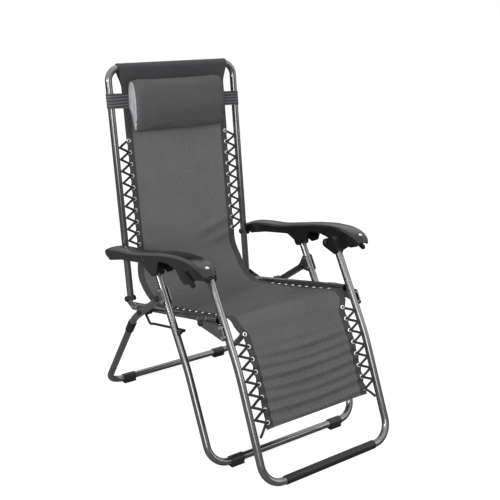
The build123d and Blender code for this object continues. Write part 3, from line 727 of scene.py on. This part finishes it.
cloth_piece("sling_back", 0, REAR_SEAM, 220,
            "back_sling")
cloth_piece("sling_seat_rear", REAR_SEAM, STATIONS[2] + 90, 90,
            "seat_sling")
cloth_piece("sling_seat_front", STATIONS[2] + 90, KNEE_SEAM, 120,
            None)
cloth_piece("sling_leg", KNEE_SEAM, ROUTE_END, 150,
            "leg_sling")
print("sling in four stretches")

# %% [markdown]
# At the top the cloth wraps the bar and comes back to a seam, which makes a sleeve. Its
# section is a drop shape: round over the bar, closing to the seam below. The cloth widens a
# little toward the bar.

# %% Top sleeve
BAR_AT = 726.0
SLEEVE_R = TUBE_R + 2.4


def top_sleeve():
    bm = bmesh.new()
    bmesh.ops.create_grid(bm, x_segments=90, y_segments=64, size=0.5)
    cut = bm.loops.layers.uv.new("cut")
    edge = bm.loops.layers.uv.new("edge")
    seam = BAR_AT - SEAM_AT
    lean = math.asin(SLEEVE_R / seam)
    side_run = seam * math.cos(lean)
    wrap = SLEEVE_R * (math.pi + 2 * lean)
    total = 2 * side_run + wrap
    spot = {v.index: (v.co.x * 2, (v.co.y + 0.5) * total) for v in bm.verts}
    for face in bm.faces:
        for loop in face.loops:
            w, t = spot[loop.vert.index]
            loop[cut].uv = (w * BACK_HALF * MM, -t * MM)
            loop[edge].uv = (0.0, t * MM)
    for v in bm.verts:
        w, t = spot[v.index]
        if t < side_run:
            d, off = t * math.cos(lean), t * math.sin(lean)
        elif t < side_run + wrap:
            a = (t - side_run) / SLEEVE_R - lean
            d, off = seam + SLEEVE_R * math.sin(a), SLEEVE_R * math.cos(a)
        else:
            rest = total - t
            d, off = rest * math.cos(lean), -rest * math.sin(lean)
        pucker = 0.5 * math.sin(w * 41) * math.exp(-((d - 8) / 9) ** 2)
        half = BACK_HALF + 9.0 * ease(d / seam)
        near = 1.0 + 0.7 * math.exp(-d / 5)
        v.co = at(w * half, on_back(SEAM_AT + d, off + near * 0.6 + pucker))
    bmesh.ops.recalc_face_normals(bm, faces=bm.faces)
    obj = keep("sling_top_sleeve", bm, [sling_cloth], 0)
    solid = obj.modifiers.new("cloth", "SOLIDIFY")
    solid.thickness = CLOTH_T * MM
    solid.offset = 0.0
    apply_all(obj)
    obj.data.set_sharp_from_angle(angle=math.radians(60))
    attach(obj, "back")
    return total


print("sleeve cloth", round(top_sleeve()), "mm round the bar")

# %% [markdown]
# ## Headrest
# The pillow is a roll of the same mesh stuffed with fibre. It starts as a drop-shaped log, a
# little small, and a short cloth simulation with pressure inside swells it until the skin is
# tight. The seams at its ends are drawn in afterwards.

# %% Pillow
PILLOW_AT = 615.0
PILLOW_HALF = 171.0
PILLOW_REAR = 2.8
PILLOW_HEIGHT = 172.0
PILLOW_DEPTH = 47.0
PILLOW_ASIDE = -6.0
PILLOW_DROP = 8.0


def pillow_section(a):
    """Drop shape at an angle: flat behind, full above the middle, narrow at its foot."""
    high = math.sin(a)
    deep = math.cos(a)
    squeeze = 1 - 0.55 * ease(-high * 1.1)
    depth = PILLOW_DEPTH * (0.5 + 0.5 * math.copysign(abs(deep) ** 0.82, deep) * squeeze)
    return high * PILLOW_HEIGHT / 2, PILLOW_REAR + depth


def pillow():
    bm = bmesh.new()
    bmesh.ops.create_cone(bm, cap_ends=True, cap_tris=False, segments=56, radius1=1, radius2=1,
                          depth=2)
    for step in range(1, 24):
        x = -1 + step / 12
        bmesh.ops.bisect_plane(bm, geom=bm.verts[:] + bm.edges[:] + bm.faces[:],
                               plane_co=(0, 0, x), plane_no=(0, 0, 1))
    for v in bm.verts:
        d, off = pillow_section(math.atan2(v.co.y, v.co.x))
        round_off = 1 - 0.10 * ease((abs(v.co.z) - 0.86) / 0.14)
        d *= round_off
        off = PILLOW_REAR + PILLOW_DEPTH / 2 + (off - PILLOW_REAR - PILLOW_DEPTH / 2) * round_off
        v.co = at(v.co.z * PILLOW_HALF + PILLOW_ASIDE, on_back(PILLOW_AT - PILLOW_DROP + d, off))
    bmesh.ops.recalc_face_normals(bm, faces=bm.faces)
    return keep("headrest_roll", bm, [pillow_cloth], 0)


def inflate(obj, voxel, pressure, cap):
    """Swell a closed form by a short cloth simulation, and keep the result."""
    remesh = obj.modifiers.new("remesh", "REMESH")
    remesh.mode = "VOXEL"
    remesh.voxel_size = voxel
    apply_all(obj)
    start = np.empty(len(obj.data.vertices) * 3)
    obj.data.vertices.foreach_get("co", start)
    cloth = obj.modifiers.new("cloth", "CLOTH")
    settings = cloth.settings
    settings.use_pressure = True
    settings.uniform_pressure_force = pressure
    settings.effector_weights.gravity = 0
    settings.quality = 5
    cloth.point_cache.frame_start = 1
    cloth.point_cache.frame_end = 20
    for number in range(1, 21):
        scene.frame_set(number)
    deps = bpy.context.evaluated_depsgraph_get()
    swollen = np.empty(len(start))
    obj.evaluated_get(deps).data.vertices.foreach_get("co", swollen)
    scene.frame_set(1)
    obj.modifiers.clear()
    step = (swollen - start).reshape(-1, 3)
    size = np.linalg.norm(step, axis=1, keepdims=True)
    step *= np.minimum(1.0, cap / np.maximum(size, 1e-9))
    obj.data.vertices.foreach_set("co", (start.reshape(-1, 3) + step).ravel())
    obj.data.update()
    return float(size.max())


PRESSURE = 4.0
MOST_SWELL = 6 * MM
roll = pillow()
grown = inflate(roll, 5 * MM, PRESSURE, MOST_SWELL)
print("pillow swelled", round(grown / MM, 1), "mm")

# %% [markdown]
# After the simulation the roll gets its end seams, a few puckers beside them, and a UV map
# whose first direction runs across the chair and whose second goes round the roll.


# %% Pillow seams and map
def finish_pillow(obj):
    bm = bmesh.new()
    bm.from_mesh(obj.data)
    bmesh.ops.smooth_vert(bm, verts=bm.verts, factor=0.5, use_axis_x=True, use_axis_y=True,
                          use_axis_z=True)
    middle = at(0, on_back(PILLOW_AT, PILLOW_REAR + PILLOW_DEPTH * 0.45))
    lengthwise = Vector((0, math.cos(math.radians(BACK_LEAN)), math.sin(math.radians(BACK_LEAN))))
    reach = max(abs(v.co.x) for v in bm.verts)
    seam = reach - 9 * MM
    for v in bm.verts:
        side = v.co - middle
        side.x = 0
        a = math.atan2(side.dot(lengthwise), side.dot(SITTER_BACK))
        near = abs(v.co.x) - seam
        draw = 2.4 * MM * math.exp(-(near / (3.0 * MM)) ** 2)
        pucker = 0.9 * MM * math.sin(a * 17) * math.exp(-((near + 14 * MM) / (12 * MM)) ** 2)
        v.co -= side.normalized() * (draw + pucker)
    cut = bm.loops.layers.uv.new("cut")
    edge = bm.loops.layers.uv.new("edge")
    for face in bm.faces:
        centre = face.calc_center_median() - middle
        base = math.atan2(centre.dot(lengthwise), centre.dot(SITTER_BACK))
        for loop in face.loops:
            side = loop.vert.co - middle
            a = math.atan2(side.dot(lengthwise), side.dot(SITTER_BACK))
            a += math.tau * round((base - a) / math.tau)
            loop[cut].uv = (side.x, a * 0.058)
            loop[edge].uv = ((seam - abs(loop.vert.co.x)) + HEM_MM * MM, 0)
    bm.to_mesh(obj.data)
    bm.free()
    obj.data.shade_smooth()
    soft = obj.modifiers.new("soft", "SUBSURF")
    soft.levels = 1
    soft.render_levels = 1
    apply_all(obj)


finish_pillow(roll)
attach(roll, "headrest")
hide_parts("headrest_pillow")
print("pillow faces", len(roll.data.polygons))

# %% [markdown]
# A wide elastic strap goes round both tubes and holds the pillow by friction, so the sitter
# can slide it up and down. Its outline is two half circles joined by straight runs.

# %% Strap
STRAP_WIDTH = 46.0
STRAP_R = TUBE_R + 1.1
STRAP_BEHIND = 4.9
STRAP_SLOPE = 58.0
STRAP_RAISE, STRAP_TILT = 3.0, 10.0


def strap():
    bm = bmesh.new()
    bmesh.ops.create_circle(bm, cap_ends=False, segments=96, radius=1)
    first = bm.edges[:]
    for row in range(20):
        ring = bmesh.ops.extrude_edge_only(bm, edges=first)
        verts = [g for g in ring["geom"] if isinstance(g, bmesh.types.BMVert)]
        bmesh.ops.translate(bm, vec=(0, 0, 1), verts=verts)
        first = [g for g in ring["geom"] if isinstance(g, bmesh.types.BMEdge)]
    for v in bm.verts:
        a = math.atan2(v.co.y, v.co.x)
        t = v.co.z / 20
        rib = 0.45 * abs(math.sin(math.pi * 5 * t))
        r = STRAP_R + rib
        c = math.cos(a)
        if abs(c) > 0.5:
            turn = (abs(c) - 0.5) / 0.5 * math.pi / 2
            x = math.copysign(LOUNGE_HALF + r * math.sin(turn), c)
            off = math.copysign(r * math.cos(turn), v.co.y if v.co.y else 1)
        else:
            x, off = c / 0.5 * LOUNGE_HALF, math.copysign(r, v.co.y)
            if off > 0:
                off -= (STRAP_R - STRAP_BEHIND) * ease((LOUNGE_HALF - abs(x)) / STRAP_SLOPE)
        askew = STRAP_RAISE - STRAP_TILT * x / LOUNGE_HALF
        v.co = at(x, on_back(PILLOW_AT + askew + (t - 0.5) * STRAP_WIDTH, off))
    bmesh.ops.recalc_face_normals(bm, faces=bm.faces)
    obj = keep("headrest_strap", bm, [elastic], 40)
    wall = obj.modifiers.new("wall", "SOLIDIFY")
    wall.thickness = 0.9 * MM
    wall.offset = 0.0
    apply_all(obj)
    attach(obj, "headrest")
    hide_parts("pillow_strap")


strap()
print("strap made")

# %% [markdown]
# ## Armrests
# Each armrest is one moulding: a thin-walled channel, open below, whose top is slightly
# crowned with a bevelled rim. A grid is laid along it. Each row of the grid is one section,
# from the inner skirt up over the top and down to the outer skirt, and Solidify gives it
# its wall.

# %% Armrest outlines
ARM_IN = 244.5
ARM_WIDTH = 58.0
ARM_TOP = [(345, 527), (318, 541), (250, 556), (160, 569), (60, 592), (-40, 615), (-120, 627),
           (-186, 627), (-226, 614), (-241, 600)]
ARM_UNDER = [(345, 525), (298, 508), (215, 531), (96, 553), (34, 532), (4, 545), (-6, 586),
             (-60, 593), (-104, 588), (-132, 563), (-150, 556), (-178, 566), (-208, 586),
             (-235, 591), (-241, 598)]


def smooth_line(points, samples=400):
    """A smooth curve through side-view points, as a table of height for each y."""
    curve = bpy.data.curves.new("line", "CURVE")
    curve.dimensions = "3D"
    spline = curve.splines.new("BEZIER")
    spline.bezier_points.add(len(points) - 1)
    for target, (y, z) in zip(spline.bezier_points, points):
        target.co = (0, y, z)
        target.handle_left_type = target.handle_right_type = "AUTO"
    curve.resolution_u = samples // len(points)
    obj = bpy.data.objects.new("line", curve)
    mesh = obj.to_mesh()
    table = sorted((v.co.y, v.co.z) for v in mesh.vertices)
    obj.to_mesh_clear()
    bpy.data.objects.remove(obj)
    bpy.data.curves.remove(curve)
    return np.array(table)


TOP_LINE = smooth_line(ARM_TOP)
UNDER_LINE = np.array(sorted(ARM_UNDER), float)


def top_at(y):
    return float(np.interp(y, TOP_LINE[:, 0], TOP_LINE[:, 1]))


def under_at(y):
    return float(np.interp(y, UNDER_LINE[:, 0], UNDER_LINE[:, 1]))


print("armrest top runs from", ARM_TOP[0], "to", ARM_TOP[-1])

# %% Armrest shell
RIM = 7.0
CROWN = 2.4
ARM_WALL = 3.6
NOSE_LENGTH, TAIL_LENGTH = 46.0, 22.0


def armrest(side, word):
    rows, across = 150, 20
    bm = bmesh.new()
    bmesh.ops.create_grid(bm, x_segments=across, y_segments=rows, size=0.5)
    y_front, y_rear = ARM_TOP[-1][0], ARM_TOP[0][0]
    for v in bm.verts:
        u = (v.co.y + 0.5)
        k = round((v.co.x + 0.5) * across)
        y = y_front + (y_rear - y_front) * (0.5 - 0.5 * math.cos(math.pi * u))
        top, under = top_at(y), under_at(y)
        tall = max(top - under, 1.5)
        rim = min(RIM, 0.45 * tall)
        nose = min((y - y_front) / NOSE_LENGTH, 1.0)
        tail = min((y_rear - y) / TAIL_LENGTH, 1.0)
        front = math.sqrt(max(1 - (1 - nose) ** 2, 0.02))
        rear = math.sqrt(max(1 - (1 - tail) ** 2, 0.02))
        half = ARM_WIDTH / 2 * (0.3 + 0.7 * front) * (0.55 + 0.45 * rear)
        middle = ARM_IN + ARM_WIDTH / 2
        fold = k if k <= across // 2 else across - k
        sign = -1 if k <= across // 2 else 1
        if fold <= 4:
            x, z = half, under + (tall - rim) * fold / 4
        elif fold == 5:
            x, z = half - rim * 0.45, top - rim * 0.42
        elif fold == 6:
            x, z = half - rim, top
        else:
            f = (fold - 6) / 4
            x = (half - rim) * (1 - f)
            z = top + CROWN * (1 - (1 - f) ** 2) * min(1.0, tall / 20)
        v.co = at(side * (middle + sign * x), (y, z - CROWN * min(1.0, tall / 20)))
    bmesh.ops.recalc_face_normals(bm, faces=bm.faces)
    top_faces = [f for f in bm.faces if abs(f.normal.z) > 0.9]
    if sum(f.normal.z for f in top_faces) < 0:
        bmesh.ops.reverse_faces(bm, faces=bm.faces)
    obj = keep(f"armrest_shell_{word}", bm, [armrest_plastic], 24)
    wall = obj.modifiers.new("wall", "SOLIDIFY")
    wall.thickness = ARM_WALL * MM
    wall.offset = -1.0
    apply_all(obj)
    obj.data.set_sharp_from_angle(angle=math.radians(24))
    return obj


def lugs(side, word):
    """Round bosses inside the armrest for its two bolts."""
    bm = bmesh.new()
    for point in (ARM_REAR_BOLT, ARM_FRONT_BOLT):
        made = bmesh.ops.create_cone(bm, cap_ends=True, segments=40, radius1=14 * MM,
                                     radius2=14 * MM, depth=4.5 * MM)
        spin = Matrix.Translation(at(side * (ARM_IN + 2.25), point)) @ Matrix.Rotation(
            math.pi / 2, 4, "Y")
        bmesh.ops.transform(bm, matrix=spin, verts=made["verts"])
    rims = [e for e in bm.edges if e.calc_face_angle(0) > 1.2]
    bmesh.ops.bevel(bm, geom=rims, offset=0.8 * MM, segments=2, affect="EDGES", profile=0.5,
                    material=-1)
    bmesh.ops.recalc_face_normals(bm, faces=bm.faces)
    return keep(f"armrest_bosses_{word}", bm, [black_plastic], 40)


def nose_button(side, word):
    """A bright round button that closes the screw hole on the armrest's nose."""
    bm = bmesh.new()
    bmesh.ops.create_uvsphere(bm, u_segments=28, v_segments=14, radius=1)
    slope = Matrix.Rotation(math.radians(18), 4, "X")
    middle = Matrix.Translation(at(side * (ARM_IN + ARM_WIDTH / 2), (-220, 617)))
    bmesh.ops.transform(bm, matrix=middle @ slope @ Matrix.Diagonal((6 * MM, 6 * MM, 2 * MM, 1)),
                        verts=bm.verts)
    return keep(f"armrest_button_{word}", bm, [zinc], 60)


for side, word in ((-1, "right"), (1, "left")):
    shell = armrest(side, word)
    boss = lugs(side, word)
    button = nose_button(side, word)
    for obj in (shell, boss, button):
        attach(obj, "armrests")
    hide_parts(f"armrest_{word}")
print("armrests moulded")

# %% [markdown]
# ## Stop buffers
# The bent wire stops under the seat end in soft rubber buffers, on which the legs come to
# rest without a click. Each is a ball, made a little narrower across the chair.


# %% Rubber buffers
BUFFER_R = 8.6


def buffers():
    bm = bmesh.new()
    for centre, axis in islands("stop_knobs"):
        ball = bmesh.ops.create_uvsphere(bm, u_segments=32, v_segments=18, radius=BUFFER_R * MM)
        stretch = Matrix.Diagonal((0.95, 1.0, 1.0, 1.0))
        bmesh.ops.transform(bm, matrix=Matrix.Translation(centre) @ stretch,
                            verts=ball["verts"])
    obj = keep("rubber_stop_buffers", bm, [rubber], 0)
    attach(obj, "rear_legs")
    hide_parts("stop_knobs")
    return obj


buffers()
print("rubber buffers fitted")

# %% [markdown]
# ## Stage and light
# The chair stands on a plain pale floor. The background is white to the camera, while the
# light that reaches the chair stays moderate, so colours look as written. Shiny surfaces see
# a room that is bright above and dark at eye level, which gives a round tube its bright line
# beside a dark one. A large soft lamp from the front left is the main light. A weaker one
# fills the right, one above lights the seat, and a small one at the left lights the tubes.

# %% Floor
bm = bmesh.new()
bmesh.ops.create_grid(bm, x_segments=1, y_segments=1, size=30.0)
pale, tree, skin = finish("matt_pale_floor", "#b8b8b8", 0.9)
path = node(tree, "LightPath")
glow = node(tree, "Emission", Strength=0.8)
extra = node(tree, "AddShader", [(0, skin.outputs["BSDF"]), (1, glow.outputs["Emission"])])
choose = node(tree, "MixShader", [(0, path.outputs["Is Camera Ray"]), (1, skin.outputs["BSDF"]),
                                  (2, extra.outputs["Shader"])])
tree.links.new(choose.outputs["Shader"], tree.nodes["Material Output"].inputs["Surface"])
floor = keep("floor", bm, [pale], 0)
print("floor laid")

# %% World
world = bpy.data.worlds.new("studio")
scene.world = world
world.use_nodes = True
tree = world.node_tree
path = node(tree, "LightPath")
seen = node(tree, "Math", [(0, path.outputs["Is Camera Ray"]),
                           (1, path.outputs["Is Transmission Ray"])], operation="MAXIMUM")
plain = node(tree, "Background", Strength=0.32)
white = node(tree, "Background", Strength=1.0)
coords = node(tree, "TexCoord")
aim = node(tree, "SeparateXYZ", [("Vector", coords.outputs["Generated"])])
ceiling = node(tree, "MapRange", [("Value", aim.outputs["Z"])])
for socket, value in (("From Min", 0.0), ("From Max", 0.55), ("To Min", 0.06), ("To Max", 1.8)):
    ceiling.inputs[socket].default_value = value
shiny = node(tree, "Background", [("Strength", ceiling.outputs["Result"])])
inner = node(tree, "MixShader", [(0, path.outputs["Is Glossy Ray"]),
                                 (1, plain.outputs["Background"]),
                                 (2, shiny.outputs["Background"])])
outer = node(tree, "MixShader", [(0, seen.outputs["Value"]), (1, inner.outputs["Shader"]),
                                 (2, white.outputs["Background"])])
for background in (plain, white, shiny):
    background.inputs["Color"].default_value = (1, 1, 1, 1)
tree.links.new(outer.outputs["Shader"], tree.nodes["World Output"].inputs["Surface"])


# %% Lamps
def soft_lamp(name, place_at, size, watts):
    data = bpy.data.lights.new(name, "AREA")
    data.shape = "SQUARE"
    data.size = size
    data.energy = watts
    lamp = bpy.data.objects.new(name, data)
    scene.collection.objects.link(lamp)
    lamp.location = place_at
    lamp.rotation_euler = (Vector((0, 0, 0.5)) - Vector(place_at)).to_track_quat("-Z",
                                                                          "Y").to_euler()
    return lamp


soft_lamp("key", (-2.1, -3.1, 1.6), 1.6, 64)
soft_lamp("fill", (2.6, -2.2, 1.6), 1.6, 18)
soft_lamp("top", (0.4, 0.8, 3.4), 1.8, 8)
soft_lamp("left", (-2.7, -0.5, 1.5), 0.5, 34)
scene.view_settings.view_transform = "Standard"
print("four lamps")
